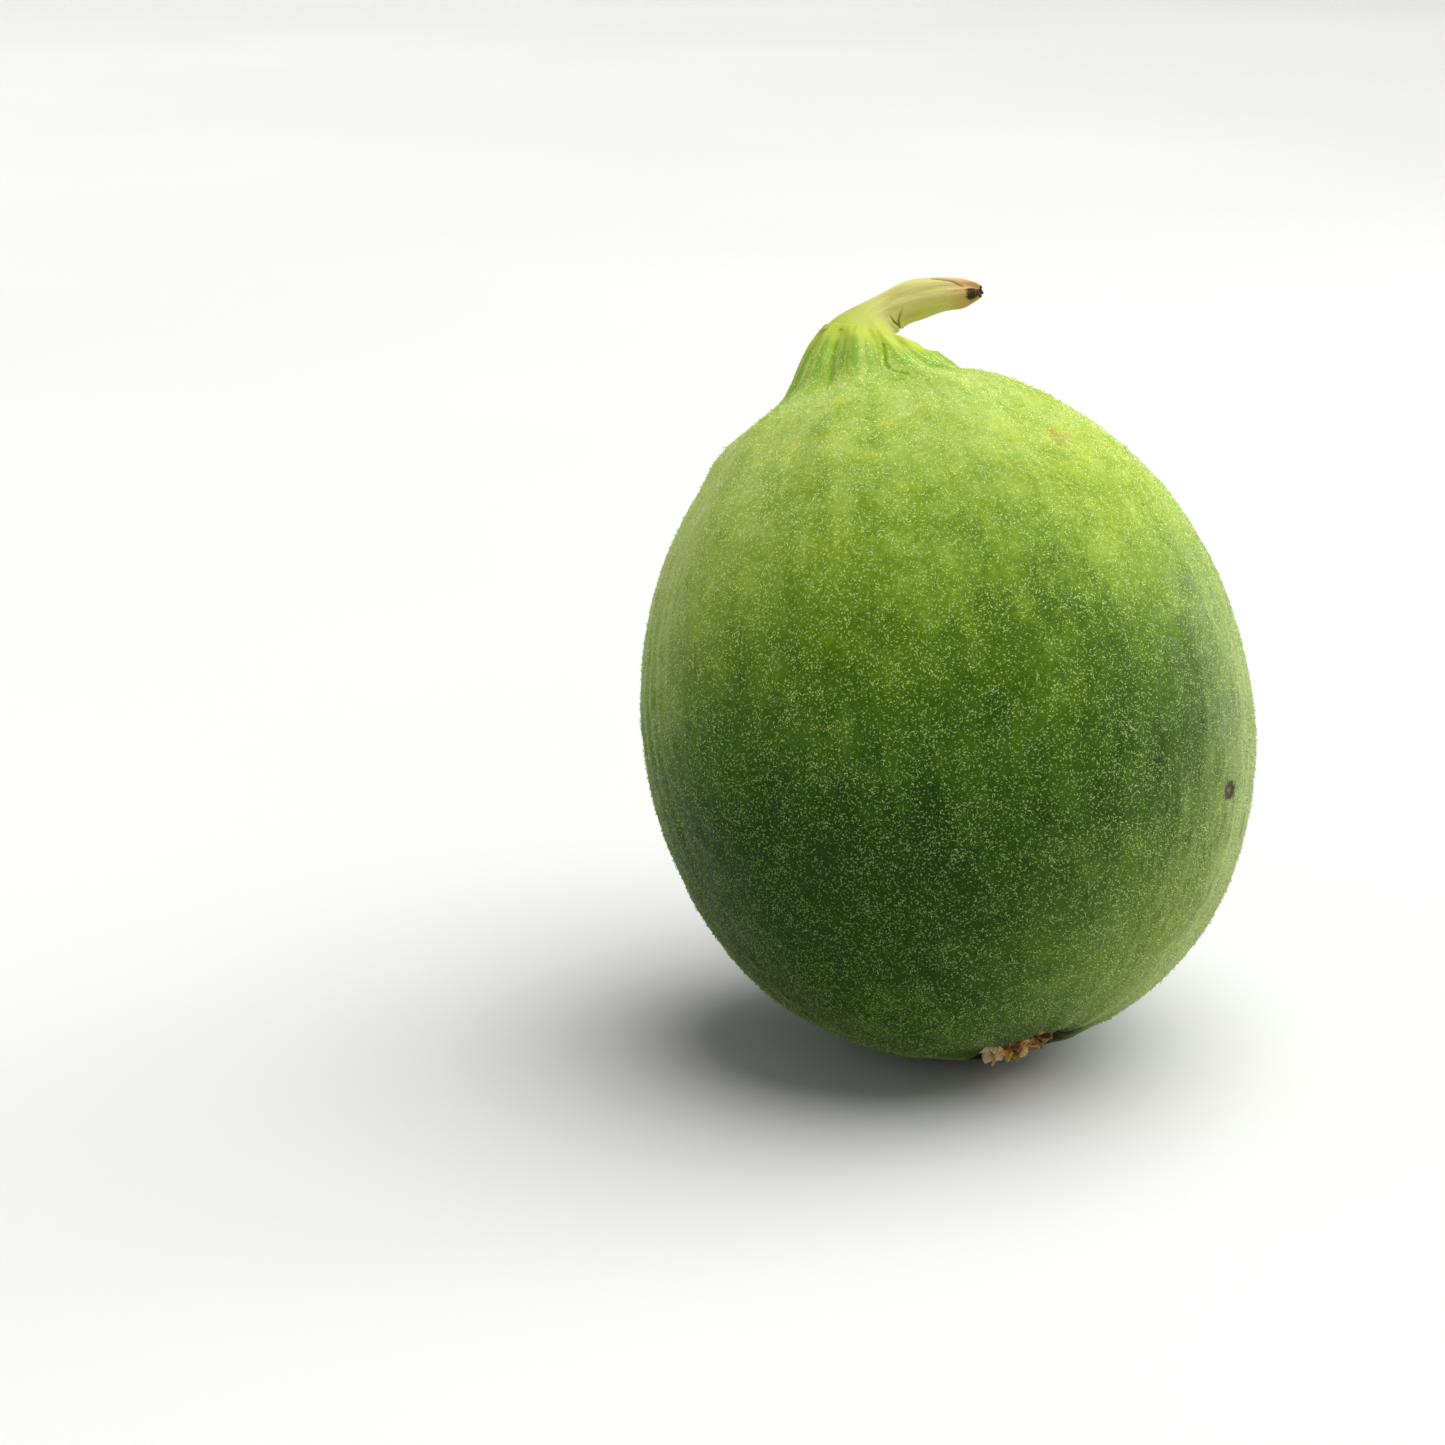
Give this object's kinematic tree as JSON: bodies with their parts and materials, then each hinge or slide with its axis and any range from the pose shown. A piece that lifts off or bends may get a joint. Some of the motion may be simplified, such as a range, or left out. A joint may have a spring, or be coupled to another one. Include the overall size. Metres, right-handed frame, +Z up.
{
  "type": "cucumber",
  "caption": "Round downy cucumber with a bent stub of stem on its ribbed neck and a dried flower at the blossom end, resting on a small natural flat.",
  "frame": {"origin": "middle of the bounding box's footprint, at the level the fruit rests on", "axes": "+Z up, with the stem at the top, +X to the side the stem bends to, -Y to the front, where the blossom end lies low down"},
  "size_m": [0.1008, 0.1024, 0.1223],
  "materials": {
    "fruit_skin": "satin",
    "green_stem": "satin",
    "dried_petals": "matte"
  },
  "bodies": {
    "root": {"fruit": "fruit_skin", "stem": "green_stem", "blossom_remnant": "dried_petals"}
  },
  "joints": []
}
